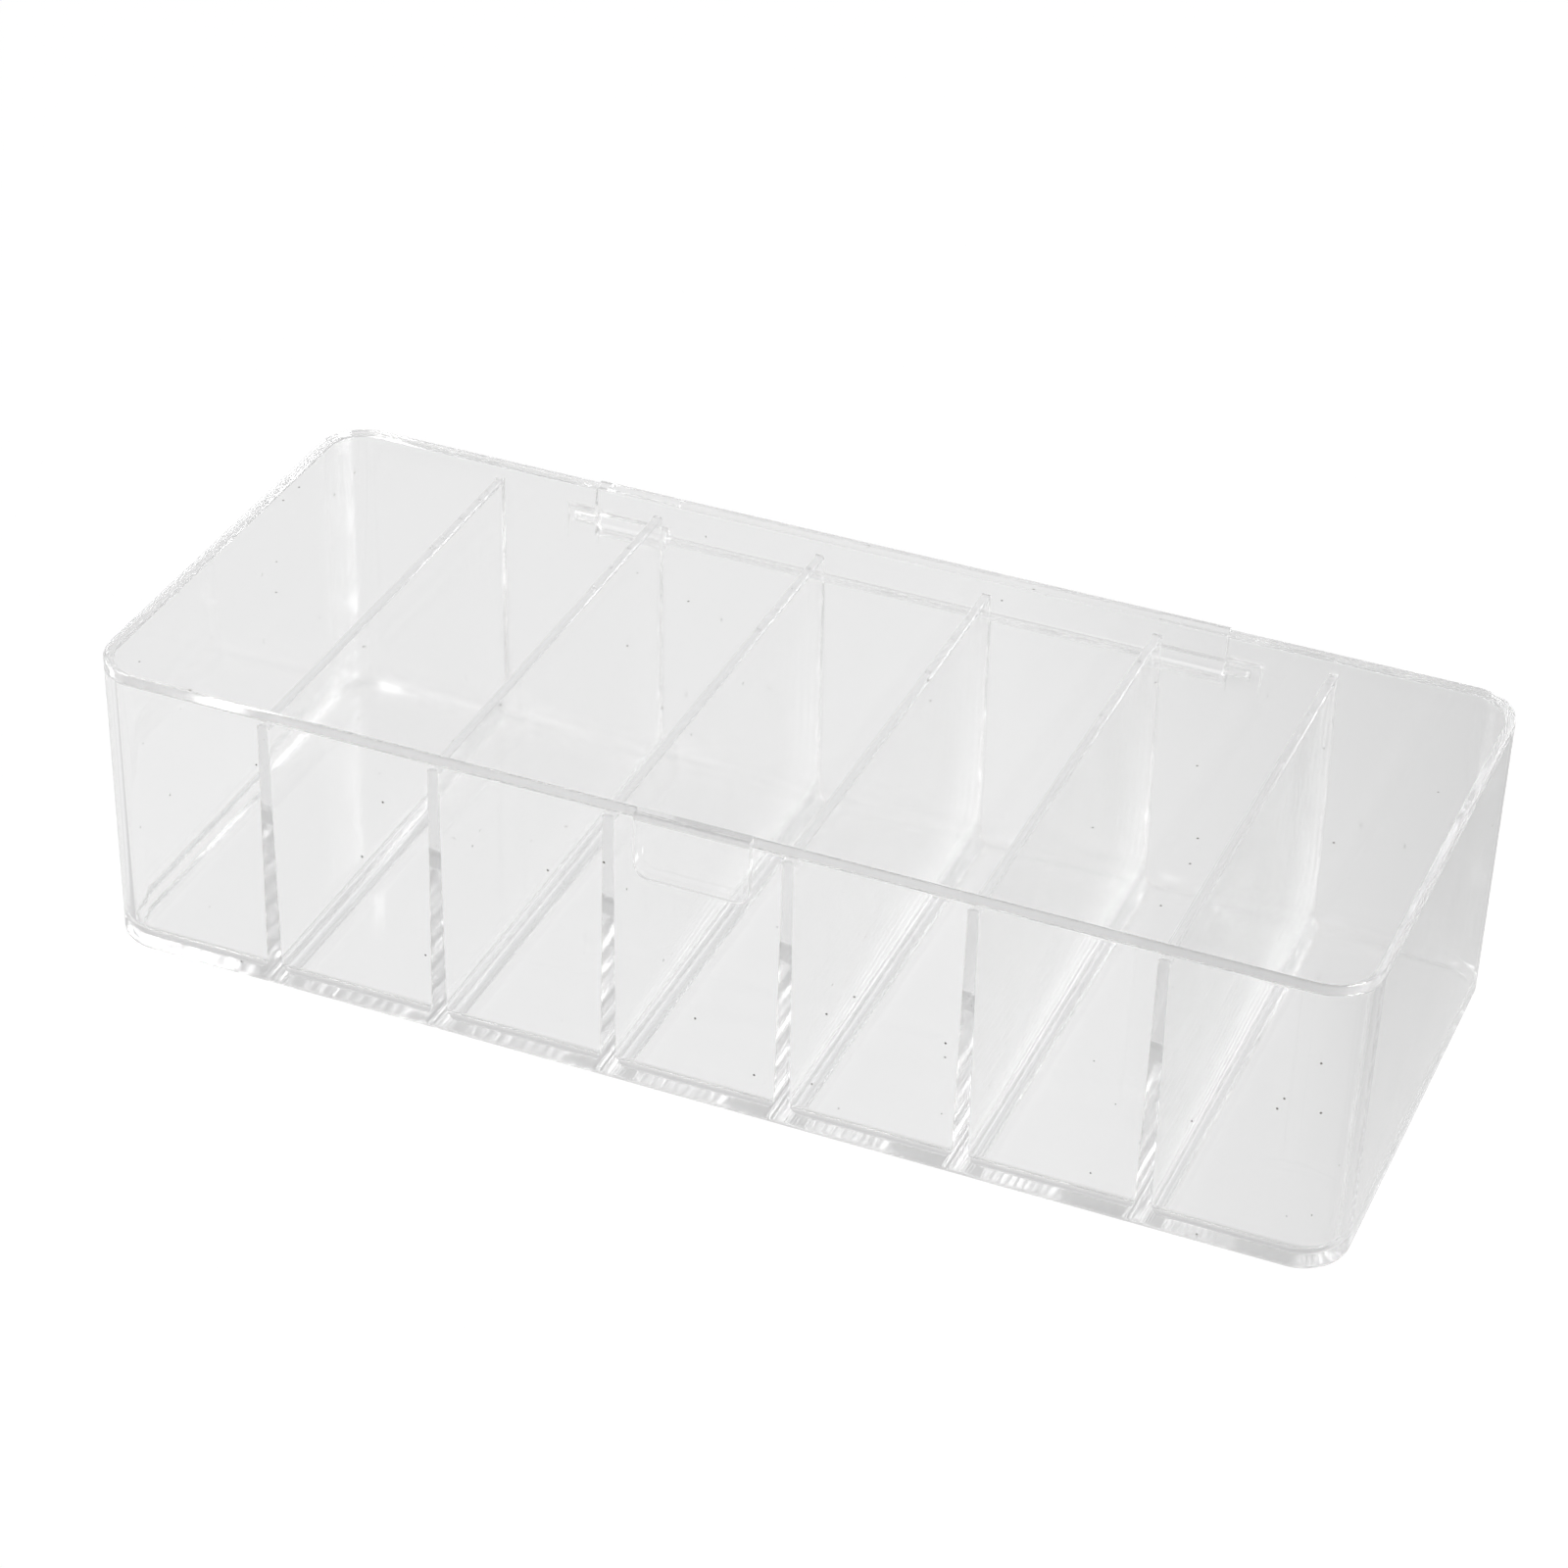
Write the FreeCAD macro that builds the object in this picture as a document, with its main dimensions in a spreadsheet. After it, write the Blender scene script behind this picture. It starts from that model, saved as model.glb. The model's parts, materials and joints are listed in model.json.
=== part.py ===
"""Clear plastic cable organiser box: a seven-compartment tray and its hinged lid.

Both pieces are injection mouldings. The tray has two hinge bosses behind its rear wall,
and the lid has a rear flange whose two end pins turn in them.
Lengths are in millimetres and leans in degrees. X runs along the box, -Y is the front
with the finger tab, +Y is the hinge side, and Z is up from the underside of the tray.
"""
import FreeCAD
import Part
import Sketcher
import math
import os

SIZES = (
    ("box_length", 265.0, "outside length at the rim"),
    ("box_width", 110.0, "outside width at the rim"),
    ("base_height", 65.5, "tray height, underside to rim"),
    ("corner_radius", 10.5, "outside corner radius at the rim"),
    ("wall_thick", 2.1, "tray wall at the rim"),
    ("floor_thick", 2.2, "tray floor"),
    ("outer_lean", 0.45, "lean of the outside walls"),
    ("inner_lean", 0.6, "lean of the inside walls and the divider faces"),
    ("bottom_round", 2.2, "round of the outside bottom edge"),
    ("floor_round", 4.0, "round where walls and dividers meet the floor"),
    ("rim_round", 0.5, "round of the rim edges"),
    ("cell_count", 7, "compartments in the row"),
    ("end_cell_extra", 0.95, "extra length of each end compartment"),
    ("divider_thick", 2.2, "divider at its top"),
    ("divider_drop", 3.0, "divider tops below the rim"),
    ("divider_round", 0.6, "round of the divider tops"),
    ("divider_fillet", 1.2, "round between the divider tops and the walls"),
    ("lid_thick", 2.1, "lid plate"),
    ("lid_round", 0.5, "round of the lid's top edge"),
    ("tab_width", 24.0, "finger tab along the front"),
    ("tab_height", 14.8, "finger tab, lid top to its lower edge"),
    ("tab_thick", 1.7, "finger tab, front to back"),
    ("tab_gap", 0.3, "clearance between the tab and the tray front"),
    ("tab_corner", 3.0, "round of the tab's lower corners"),
    ("tab_edge", 0.8, "round of the tab's top edge"),
    ("hinge_span", 141.4, "between the two hinge bosses"),
    ("hinge_drop", 8.3, "hinge axis below the rim"),
    ("hinge_inset", 0.2, "hinge axis inside the rear face"),
    ("flange_thick", 2.3, "lid flange, front to back"),
    ("flange_proud", 0.8, "lid flange behind the rear face"),
    ("flange_depth", 8.5, "lid flange below the rim"),
    ("flange_gap", 1.0, "clearance under the flange"),
    ("flange_fillet", 0.8, "round between the flange and the lid's underside"),
    ("barrel_radius", 2.1, "hinge barrel"),
    ("barrel_length", 16.0, "hinge barrel along its axis"),
    ("barrel_gap", 0.7, "clearance under a barrel"),
    ("swing_gap", 0.4, "clearance beside a turning barrel"),
    ("pin_diameter", 2.4, "hinge pin"),
    ("pin_length", 4.8, "hinge pin beyond its barrel"),
    ("pin_clearance", 0.05, "radial clearance of a pin in its bore"),
    ("end_gap", 0.3, "clearance between a barrel and its boss"),
    ("boss_length", 7.0, "hinge boss along its axis"),
    ("boss_wall", 1.6, "boss wall around its bore"),
    ("boss_foot", 5.7, "foot of the boss below the hinge axis"),
)

# What follows from the driving sizes; lean_out and lean_in are the slopes of the walls
DERIVED = (
    ("lean_out", "tan(Sizes.outer_lean * 1 deg)"),
    ("lean_in", "tan(Sizes.inner_lean * 1 deg)"),
    ("half_length", "Sizes.box_length / 2"),
    ("half_width", "Sizes.box_width / 2"),
    ("inner_half_length", "half_length - Sizes.wall_thick"),
    ("inner_half_width", "half_width - Sizes.wall_thick"),
    ("inner_corner", "Sizes.corner_radius - Sizes.wall_thick"),
    ("cavity_depth", "Sizes.base_height - Sizes.floor_thick"),
    ("cell_length", "(2 * inner_half_length - 2 * Sizes.end_cell_extra"
                    " - (Sizes.cell_count - 1) * Sizes.divider_thick) / Sizes.cell_count"),
    ("divider_pitch", "cell_length + Sizes.divider_thick"),
    ("divider_reach", "(Sizes.cell_count - 2) * divider_pitch"),
    ("divider_end_y", "half_width - Sizes.wall_thick / 2"),
    ("divider_top_z", "Sizes.base_height - Sizes.divider_drop"),
    ("divider_low_z", "Sizes.floor_thick / 2"),
    ("divider_top_near", "divider_reach / 2 - Sizes.divider_thick / 2"),
    ("divider_top_far", "divider_reach / 2 + Sizes.divider_thick / 2"),
    ("divider_spread", "(divider_top_z - divider_low_z) * lean_in"),
    ("divider_foot_near", "divider_top_near - divider_spread"),
    ("divider_foot_far", "divider_top_far + divider_spread"),
    ("lid_top_z", "Sizes.base_height + Sizes.lid_thick"),
    ("hinge_y", "half_width - Sizes.hinge_inset"),
    ("hinge_z", "Sizes.base_height - Sizes.hinge_drop"),
    ("boss_near_x", "Sizes.hinge_span / 2"),
    ("barrel_end_x", "boss_near_x - Sizes.end_gap"),
    ("notch_step_x", "barrel_end_x - Sizes.barrel_length - Sizes.swing_gap"),
    ("flange_low_z", "Sizes.base_height - Sizes.flange_depth"),
    ("notch_z", "flange_low_z - Sizes.flange_gap"),
    ("notch_low_z", "hinge_z - Sizes.barrel_radius - Sizes.barrel_gap"),
    ("notch_inner_y", "hinge_y - Sizes.barrel_radius - Sizes.swing_gap"),
    ("notch_cut", "half_width + Sizes.barrel_radius - notch_inner_y"),
    ("pin_radius", "Sizes.pin_diameter / 2"),
    ("bore_radius", "pin_radius + Sizes.pin_clearance"),
    ("bore_depth", "Sizes.end_gap + Sizes.pin_length"),
    ("boss_radius", "bore_radius + Sizes.boss_wall"),
    ("boss_top_z", "hinge_z + boss_radius"),
    ("boss_root_y", "half_width - Sizes.wall_thick / 2"),
    ("boss_foot_z", "hinge_z - Sizes.boss_foot"),
    ("boss_foot_y", "half_width - (Sizes.hinge_drop + Sizes.boss_foot) * lean_out"),
    ("flange_outer_y", "half_width + Sizes.flange_proud"),
    ("flange_inner_y", "flange_outer_y - Sizes.flange_thick"),
    ("flange_length", "2 * barrel_end_x"),
    ("tab_inner_y", "half_width + Sizes.tab_gap"),
    ("tab_front_y", "tab_inner_y + Sizes.tab_thick"),
    ("tab_root_y", "half_width - Sizes.lid_round - Sizes.lid_thick"),
    ("tab_low_z", "lid_top_z - Sizes.tab_height"),
)

doc = FreeCAD.newDocument("cable_box")
sheet = doc.addObject("Spreadsheet::Sheet", "Sizes")
for row, (alias, value, note) in enumerate(SIZES, start=1):
    sheet.set("A%d" % row, note)
    sheet.set("B%d" % row, str(value))
    sheet.setAlias("B%d" % row, alias)
derived = doc.addObject("App::VarSet", "Derived")
for name, expression in DERIVED:
    derived.addProperty("App::PropertyFloat", name)
    derived.setExpression(name, expression)
doc.recompute()

# A named point of a sketch's geometry
START, END, CENTRE = 1, 2, 3
ORIGIN = (-1, 1)
X_AXIS, Y_AXIS = -1, -2
TINY = 1e-4


def number(name):
    """Reads a driving or derived size."""
    if name in derived.PropertiesList:
        return derived.getPropertyByName(name)
    return float(sheet.get(name))


def bind(feature, prop, name):
    """Ties a property of a feature to a driving or derived size."""
    owner = "Derived" if name in derived.PropertiesList else "Sizes"
    feature.setExpression(prop, "%s.%s" % (owner, name))


def new_body(label):
    body = doc.addObject("PartDesign::Body", label)
    body.Label = label
    return body


def origin_plane(body, role):
    return next(item for item in body.Origin.OriginFeatures if item.Role == role)


def new_sketch(body, name, role, level=None):
    """Adds a sketch on an origin plane, or on its parallel at a named level."""
    sketch = body.newObject("Sketcher::SketchObject", name)
    sketch.AttachmentSupport = [(origin_plane(body, role), "")]
    sketch.MapMode = "FlatFace"
    if level:
        bind(sketch, "AttachmentOffset.Base.z", level)
    sketch.Visibility = False
    return sketch


def add_size(sketch, name, kind, *places):
    """Adds a dimension to a sketch and ties it to a named size."""
    index = sketch.addConstraint(Sketcher.Constraint(kind, *places, number(name)))
    label = "%s_%d" % (name, index)
    sketch.renameConstraint(index, label)
    bind(sketch, "Constraints." + label, name)


def signed(name):
    """Reads a size whose name may carry a minus sign; no name is zero."""
    if not name:
        return 0.0
    if name.startswith("-"):
        return -number(name[1:])
    return number(name)


def place_point(sketch, geometry, point, x, y):
    """Holds a point at named distances from the sketch's axes."""
    for kind, axis, name in (("DistanceX", Y_AXIS, x), ("DistanceY", X_AXIS, y)):
        if not name:
            sketch.addConstraint(
                Sketcher.Constraint("PointOnObject", geometry, point, axis))
        elif name.startswith("-"):
            add_size(sketch, name[1:], kind, geometry, point, *ORIGIN)
        else:
            add_size(sketch, name, kind, *ORIGIN, geometry, point)


def draw_polygon(sketch, corners):
    """Draws a closed polygon through corners given by the names of their places."""
    points = [FreeCAD.Vector(signed(x), signed(y), 0) for x, y in corners]
    lines = []
    for start, end in zip(points, points[1:] + points[:1]):
        lines.append(sketch.addGeometry(Part.LineSegment(start, end), False))
    for line, following in zip(lines, lines[1:] + lines[:1]):
        sketch.addConstraint(Sketcher.Constraint("Coincident", line, END, following, START))
    for line, (x, y) in zip(lines, corners):
        place_point(sketch, line, START, x, y)


def draw_circle(sketch, x, y, radius):
    centre = FreeCAD.Vector(signed(x), signed(y), 0)
    ring = Part.Circle(centre, FreeCAD.Vector(0, 0, 1), number(radius))
    circle = sketch.addGeometry(ring, False)
    add_size(sketch, radius, "Radius", circle)
    place_point(sketch, circle, CENTRE, x, y)


def draw_round_rectangle(sketch, half_x, half_y, radius):
    """Draws a rectangle with round corners about the origin."""
    dx = number(half_x) - number(radius)
    dy = number(half_y) - number(radius)
    arcs = []
    for turn, (cx, cy) in enumerate(((dx, dy), (-dx, dy), (-dx, -dy), (dx, -dy))):
        ring = Part.Circle(FreeCAD.Vector(cx, cy, 0), FreeCAD.Vector(0, 0, 1), number(radius))
        arc = Part.ArcOfCircle(ring, turn * math.pi / 2, (turn + 1) * math.pi / 2)
        arcs.append(sketch.addGeometry(arc, False))
    sides = []
    for arc, following in zip(arcs, arcs[1:] + arcs[:1]):
        side = Part.LineSegment(sketch.getPoint(arc, END), sketch.getPoint(following, START))
        sides.append(sketch.addGeometry(side, False))
    for turn, side in enumerate(sides):
        following = arcs[(turn + 1) % 4]
        heading = "Horizontal" if turn % 2 == 0 else "Vertical"
        sketch.addConstraint(Sketcher.Constraint("Tangent", arcs[turn], END, side, START))
        sketch.addConstraint(Sketcher.Constraint("Tangent", side, END, following, START))
        sketch.addConstraint(Sketcher.Constraint(heading, side))
    for arc in arcs[1:]:
        sketch.addConstraint(Sketcher.Constraint("Equal", arcs[0], arc))
    add_size(sketch, radius, "Radius", arcs[0])
    add_size(sketch, half_y, "DistanceY", *ORIGIN, sides[0], START)
    add_size(sketch, half_x, "DistanceX", sides[1], START, *ORIGIN)
    add_size(sketch, half_y, "DistanceY", sides[2], START, *ORIGIN)
    add_size(sketch, half_x, "DistanceX", *ORIGIN, sides[3], START)


def draw_boss_profile(sketch):
    """Draws a hinge boss from the end: a round about the axis with a gusset below it."""
    root, top = number("boss_root_y"), number("boss_top_z")
    foot_y, foot_z = number("boss_foot_y"), number("boss_foot_z")
    centre = FreeCAD.Vector(number("hinge_y"), number("hinge_z"), 0)
    radius = number("boss_radius")
    to_foot = FreeCAD.Vector(foot_y, foot_z, 0) - centre
    side = math.atan2(to_foot.y, to_foot.x) + math.acos(radius / to_foot.Length)
    tangent = centre + FreeCAD.Vector(math.cos(side), math.sin(side), 0) * radius
    foot = FreeCAD.Vector(foot_y, foot_z, 0)
    crown = FreeCAD.Vector(centre.x, top, 0)
    root_top = FreeCAD.Vector(root, top, 0)
    root_foot = FreeCAD.Vector(root, foot_z, 0)
    ring = Part.Circle(centre, FreeCAD.Vector(0, 0, 1), radius)
    gusset = sketch.addGeometry(Part.LineSegment(foot, tangent), False)
    nose = sketch.addGeometry(Part.ArcOfCircle(ring, side, math.pi / 2), False)
    shelf = sketch.addGeometry(Part.LineSegment(crown, root_top), False)
    back = sketch.addGeometry(Part.LineSegment(root_top, root_foot), False)
    base = sketch.addGeometry(Part.LineSegment(root_foot, foot), False)
    sketch.addConstraint(Sketcher.Constraint("Tangent", gusset, END, nose, START))
    sketch.addConstraint(Sketcher.Constraint("Tangent", nose, END, shelf, START))
    sketch.addConstraint(Sketcher.Constraint("Coincident", shelf, END, back, START))
    sketch.addConstraint(Sketcher.Constraint("Coincident", back, END, base, START))
    sketch.addConstraint(Sketcher.Constraint("Coincident", base, END, gusset, START))
    sketch.addConstraint(Sketcher.Constraint("Horizontal", shelf))
    sketch.addConstraint(Sketcher.Constraint("Vertical", back))
    sketch.addConstraint(Sketcher.Constraint("Horizontal", base))
    add_size(sketch, "boss_radius", "Radius", nose)
    place_point(sketch, nose, CENTRE, "hinge_y", "hinge_z")
    place_point(sketch, gusset, START, "boss_foot_y", "boss_foot_z")
    add_size(sketch, "boss_root_y", "DistanceX", *ORIGIN, back, START)


def extrude(body, kind, sketch, name, length, side="One side", reverse=False, lean=None):
    """Pads or pockets a sketch; a named lean narrows it along the way."""
    feature = body.newObject("PartDesign::" + kind, name)
    feature.Profile = sketch
    feature.SideType = side
    feature.Reversed = reverse
    bind(feature, "Length", length)
    if lean:
        feature.setExpression("TaperAngle", "-Sizes.%s * 1 deg" % lean)
    doc.recompute()
    return feature


def lies_at(edge, axis, name):
    """True when the whole edge has a coordinate of that size."""
    first, last = edge.ParameterRange
    points = (edge.valueAt(first), edge.valueAt((first + last) / 2), edge.valueAt(last))
    return all(abs(getattr(point, axis) - signed(name)) < TINY for point in points)


def runs_along(edge, axis):
    """True for a straight edge along one axis."""
    if edge.Curve.TypeId != "Part::GeomLine":
        return False
    return abs(getattr(edge.Curve.Direction, axis)) > 1 - TINY


def round_edges(body, name, radius, z, y=None, along=None):
    """Rounds the edges at a named height, and at a named y or along an axis if given."""
    before = body.Tip
    edges = []
    for index, edge in enumerate(before.Shape.Edges, start=1):
        here = lies_at(edge, "z", z) and (y is None or lies_at(edge, "y", y))
        if here and (along is None or runs_along(edge, along)):
            edges.append("Edge%d" % index)
    feature = body.newObject("PartDesign::Fillet", name)
    feature.Base = (before, edges)
    bind(feature, "Radius", radius)
    doc.recompute()


def repeat_on_the_left(body, name, features):
    """Mirrors features of the right half to the left half."""
    mirror = body.newObject("PartDesign::Mirrored", name)
    mirror.Originals = features
    mirror.MirrorPlane = (origin_plane(body, "YZ_Plane"), [""])
    body.Tip = mirror
    doc.recompute()



def make_base_tray():
    """The tray: a drafted shell with six dividers, a rear notch and two hinge bosses."""
    body = new_body("base_tray")

    outline = new_sketch(body, "TrayOutline", "XY_Plane", "base_height")
    draw_round_rectangle(outline, "half_length", "half_width", "corner_radius")
    extrude(body, "Pad", outline, "Block", "base_height", reverse=True, lean="outer_lean")
    round_edges(body, "BottomRound", "bottom_round", z="")

    mouth = new_sketch(body, "MouthOutline", "XY_Plane", "base_height")
    draw_round_rectangle(mouth, "inner_half_length", "inner_half_width", "inner_corner")
    extrude(body, "Pocket", mouth, "Cavity", "cavity_depth", lean="inner_lean")

    section = new_sketch(body, "DividerSection", "XZ_Plane")
    draw_polygon(section, (
        ("-divider_foot_far", "divider_low_z"),
        ("-divider_foot_near", "divider_low_z"),
        ("-divider_top_near", "divider_top_z"),
        ("-divider_top_far", "divider_top_z"),
    ))
    divider = body.newObject("PartDesign::Pad", "Divider")
    divider.Profile = section
    divider.SideType = "Symmetric"
    divider.setExpression("Length", "2 * Derived.divider_end_y")
    doc.recompute()
    dividers = body.newObject("PartDesign::LinearPattern", "Dividers")
    dividers.Originals = [divider]
    dividers.Direction = (origin_plane(body, "X_Axis"), [""])
    bind(dividers, "Length", "divider_reach")
    dividers.setExpression("Occurrences", "Sizes.cell_count - 1")
    body.Tip = dividers
    doc.recompute()

    round_edges(body, "DividerFillets", "divider_fillet", z="divider_top_z", along="x")
    round_edges(body, "FloorRound", "floor_round", z="floor_thick")
    round_edges(body, "DividerTopRound", "divider_round", z="divider_top_z", along="y")
    round_edges(body, "RimRound", "rim_round", z="base_height")

    profile = new_sketch(body, "BossProfile", "YZ_Plane", "boss_near_x")
    draw_boss_profile(profile)
    boss = extrude(body, "Pad", profile, "HingeBoss", "boss_length")
    repeat_on_the_left(body, "HingeBosses", [boss])

    notch = new_sketch(body, "NotchOutline", "XZ_Plane")
    notch.setExpression("AttachmentOffset.Base.z", "-Derived.notch_inner_y")
    draw_polygon(notch, (
        ("-boss_near_x", "notch_low_z"),
        ("-notch_step_x", "notch_low_z"),
        ("-notch_step_x", "notch_z"),
        ("notch_step_x", "notch_z"),
        ("notch_step_x", "notch_low_z"),
        ("boss_near_x", "notch_low_z"),
        ("boss_near_x", "lid_top_z"),
        ("-boss_near_x", "lid_top_z"),
    ))
    extrude(body, "Pocket", notch, "RearNotch", "notch_cut")

    mouth = new_sketch(body, "BoreMouth", "YZ_Plane", "boss_near_x")
    draw_circle(mouth, "hinge_y", "hinge_z", "bore_radius")
    bore = extrude(body, "Pocket", mouth, "Bore", "bore_depth", reverse=True)
    repeat_on_the_left(body, "Bores", [bore])
    return body


def make_hinged_lid():
    """The lid: a flat plate with a finger tab, a rear flange, two barrels and two pins."""
    body = new_body("hinged_lid")

    outline = new_sketch(body, "PlateOutline", "XY_Plane", "base_height")
    draw_round_rectangle(outline, "half_length", "half_width", "corner_radius")
    extrude(body, "Pad", outline, "Plate", "lid_thick")
    round_edges(body, "PlateRound", "lid_round", z="lid_top_z")

    hook = new_sketch(body, "TabProfile", "YZ_Plane")
    draw_polygon(hook, (
        ("-tab_root_y", "base_height"),
        ("-tab_root_y", "lid_top_z"),
        ("-tab_front_y", "lid_top_z"),
        ("-tab_front_y", "tab_low_z"),
        ("-tab_inner_y", "tab_low_z"),
        ("-tab_inner_y", "base_height"),
    ))
    extrude(body, "Pad", hook, "FingerTab", "tab_width", side="Symmetric")
    round_edges(body, "TabCorners", "tab_corner", z="tab_low_z", along="y")
    round_edges(body, "TabEdge", "tab_edge", z="lid_top_z", y="-tab_front_y")

    web = new_sketch(body, "FlangeProfile", "YZ_Plane")
    draw_polygon(web, (
        ("flange_inner_y", "flange_low_z"),
        ("flange_outer_y", "flange_low_z"),
        ("flange_outer_y", "lid_top_z"),
        ("flange_inner_y", "lid_top_z"),
    ))
    extrude(body, "Pad", web, "Flange", "flange_length", side="Symmetric")
    round_edges(body, "FlangeFillet", "flange_fillet", z="base_height", y="flange_inner_y")
    round_edges(body, "FlangeEdge", "lid_round", z="lid_top_z", y="flange_outer_y")

    end = new_sketch(body, "BarrelEnd", "YZ_Plane", "barrel_end_x")
    draw_circle(end, "hinge_y", "hinge_z", "barrel_radius")
    barrel = extrude(body, "Pad", end, "Barrel", "barrel_length", reverse=True)
    root = new_sketch(body, "PinRoot", "YZ_Plane", "barrel_end_x")
    draw_circle(root, "hinge_y", "hinge_z", "pin_radius")
    pin = extrude(body, "Pad", root, "Pin", "pin_length")
    repeat_on_the_left(body, "LeftBarrelAndPin", [barrel, pin])
    return body


def check(bodies):
    """Stops the build when a feature failed or a body isn't one sound solid."""
    for item in doc.Objects:
        if "Invalid" in item.State or "Error" in item.State:
            raise RuntimeError("%s failed: %s" % (item.Name, item.State))
    for body in bodies:
        if body.Shape.isNull() or not body.Shape.isValid() or len(body.Shape.Solids) != 1:
            raise RuntimeError(body.Label + " isn't one sound solid")


bodies = [make_base_tray(), make_hinged_lid()]
doc.recompute()
check(bodies)
os.makedirs("parts", exist_ok=True)
for body in bodies:
    body.Shape.exportStep("parts/%s.step" % body.Label)
    print(body.Label, "volume %.0f mm3" % body.Shape.Volume, body.Shape.BoundBox)
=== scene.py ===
import bpy
import bmesh
import json
import math
from mathutils import Matrix, Vector


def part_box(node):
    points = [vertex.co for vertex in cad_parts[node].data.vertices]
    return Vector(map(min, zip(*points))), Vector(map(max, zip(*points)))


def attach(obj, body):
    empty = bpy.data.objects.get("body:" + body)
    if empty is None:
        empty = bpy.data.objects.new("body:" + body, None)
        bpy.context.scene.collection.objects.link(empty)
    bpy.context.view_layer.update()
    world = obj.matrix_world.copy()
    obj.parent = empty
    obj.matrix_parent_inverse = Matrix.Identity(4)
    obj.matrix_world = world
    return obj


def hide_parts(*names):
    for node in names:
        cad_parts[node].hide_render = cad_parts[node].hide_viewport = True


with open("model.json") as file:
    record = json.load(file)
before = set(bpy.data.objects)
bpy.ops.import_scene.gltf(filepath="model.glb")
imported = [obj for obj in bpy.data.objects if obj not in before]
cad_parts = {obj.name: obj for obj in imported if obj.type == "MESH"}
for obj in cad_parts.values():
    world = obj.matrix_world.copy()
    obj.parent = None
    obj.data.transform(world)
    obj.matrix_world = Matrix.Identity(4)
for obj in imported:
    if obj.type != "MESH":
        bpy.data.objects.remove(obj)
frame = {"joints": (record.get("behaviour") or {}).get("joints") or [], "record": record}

bl_info = {
    "name": "Clear Compartment Box",
    "version": (1, 0, 0),
    "blender": (4, 5, 0),
    "location": "View3D > Sidebar > Clear Box",
    "description": "Clear moulded tray with seven compartments, its hinged lid and a white studio",
    "category": "Object",
}

MM = 0.001

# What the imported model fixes: the outside sizes, the hinge axis and the row of compartments
TRAY_LOW, TRAY_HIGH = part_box("base_tray")
LID_LOW, LID_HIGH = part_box("hinged_lid")
HINGE = Vector(frame["joints"][0]["pos_m"])
OPENINGS = [opening["box_m"] for opening in frame["record"]["physics"]["openings"]]
ROW = sorted({round((low[0] + high[0]) / 2, 4) for low, high in OPENINGS})
MIDDLE_CELLS = [x for x in ROW if abs(x) < TRAY_HIGH.x * 0.7]
CELL_PITCH = (MIDDLE_CELLS[-1] - MIDDLE_CELLS[0]) / (len(MIDDLE_CELLS) - 1)
CELL_COUNT = len(MIDDLE_CELLS) + 2

HALF_LENGTH = TRAY_HIGH.x
HALF_WIDTH = -TRAY_LOW.y
RIM = TRAY_HIGH.z
LID_TOP = LID_HIGH.z

# Steps on a quarter turn of the plan's corners and of the rounds, and round a boss, and
# the points of a full circle about the hinge axis
CORNER_STEPS = 20
ROUND_STEPS = 6
LARGE_ROUND_STEPS = 10
SMALL_ROUND_STEPS = 3
CREST_STEPS = 4
FILLET_STEPS = 5
BOSS_STEPS = 16
RING_POINTS = 32

# In metres: nearer points of a new solid are one, nearer points of a finished piece are
# one, thinner faces are dropped, and points this near to a plane lie on it
WELD = 1e-7
SEAM_WELD = 2e-6
SLIVER = 1e-6
TOUCH = 1e-6
SMOOTH_ANGLE = math.radians(35)

# Small rounds and chamfers of the mouldings
BROKEN_EDGE = 0.3 * MM
TAB_SHOULDER = 0.8 * MM
LID_UNDER_ROUND = 0.15 * MM
FLANGE_CHAMFER = 0.25 * MM
FLANGE_FILLET = 0.8 * MM
BARREL_CHAMFER = 0.2 * MM

# Room in the rear notch beside and in front of a barrel, and below it
BARREL_ROOM = 0.4 * MM
BARREL_DROP = 0.7 * MM

# How far a solid reaches into another, or past the faces that it cuts, for a clean join
OVERLAP = 0.01 * MM
CUT_PAST = MM
TAB_ROOT = 2 * MM


# Lofted solids

def plan_loop(half_x, half_y, radius, z):
    """A rectangle with round corners seen from above, anticlockwise."""
    loop = []
    for turn in range(4):
        sign_x = -1 if turn in (0, 3) else 1
        sign_y = -1 if turn in (0, 1) else 1
        centre = Vector((sign_x * (half_x - radius), sign_y * (half_y - radius), z))
        for step in range(CORNER_STEPS + 1):
            angle = math.pi * (1 + (turn + step / CORNER_STEPS) / 2)
            loop.append(centre + radius * Vector((math.cos(angle), math.sin(angle), 0)))
    return loop


def quarter(start, end, steps=ROUND_STEPS):
    """Angles from start to end in degrees, both included."""
    return [math.radians(start + (end - start) * step / steps) for step in range(steps + 1)]


def arc(centre_a, centre_b, radius, start, end, steps=ROUND_STEPS):
    """Points (a, b) of an arc in a plane."""
    return [(centre_a + radius * math.cos(angle), centre_b + radius * math.sin(angle))
            for angle in quarter(start, end, steps)]


def loft(name, loops):
    """A closed solid through loops of as many points each, with flat ends."""
    bm = bmesh.new()
    rows = [[bm.verts.new(point) for point in loop] for loop in loops]
    for row, following in zip(rows, rows[1:]):
        for i in range(len(row)):
            j = (i + 1) % len(row)
            bm.faces.new((row[i], row[j], following[j], following[i]))
    bm.faces.new(rows[0])
    bm.faces.new(rows[-1])
    bmesh.ops.remove_doubles(bm, verts=bm.verts, dist=WELD)
    bmesh.ops.recalc_face_normals(bm, faces=bm.faces)
    return finish_bmesh(name, bm)


def finish_bmesh(name, bm):
    """Makes a named object of a bmesh and puts it in the scene."""
    mesh = bpy.data.meshes.new(name)
    bm.to_mesh(mesh)
    bm.free()
    obj = bpy.data.objects.new(name, mesh)
    bpy.context.scene.collection.objects.link(obj)
    return obj


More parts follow.
